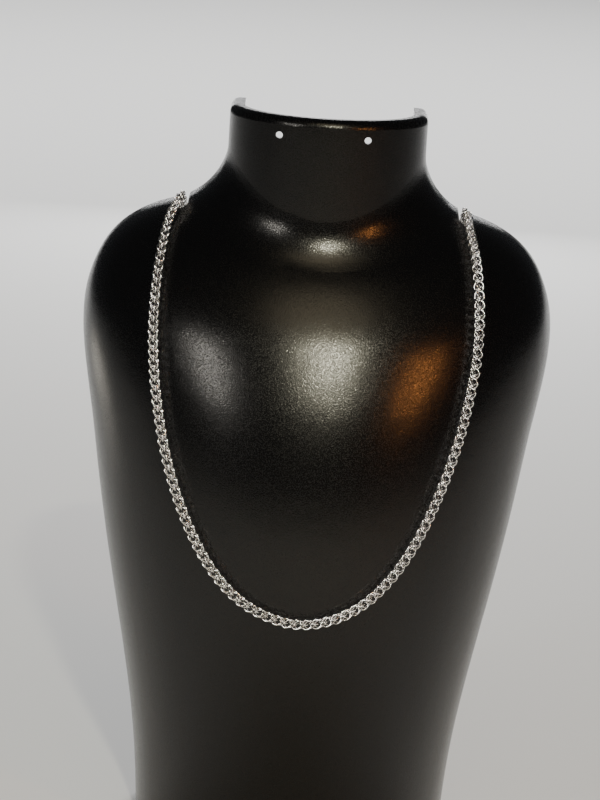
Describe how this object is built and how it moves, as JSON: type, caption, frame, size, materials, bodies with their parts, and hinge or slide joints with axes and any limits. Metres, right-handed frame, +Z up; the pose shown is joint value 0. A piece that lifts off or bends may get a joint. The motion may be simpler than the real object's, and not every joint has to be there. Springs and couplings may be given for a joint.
{
  "type": "rope chain necklace on a neck bust",
  "caption": "Rope-like chain of small round interlinked rings, hung in a long U on a plain black hollow neck bust with notched shoulders.",
  "frame": {"origin": "on the underside of the foot, below the axis of the neck", "axes": "+Z up along the neck, +X to the right as seen from the front, -Y out of the chest"},
  "size_m": [0.2326, 0.1462, 0.365],
  "materials": {
    "neck_bust": "black, satin, moulded",
    "rope_chain": "polished silver-coloured wire",
    "clasp": "polished, silver-coloured"
  },
  "bodies": {
    "root": {"neck_bust": "neck_bust", "rope_chain": "rope_chain", "clasp": "clasp"}
  },
  "joints": []
}
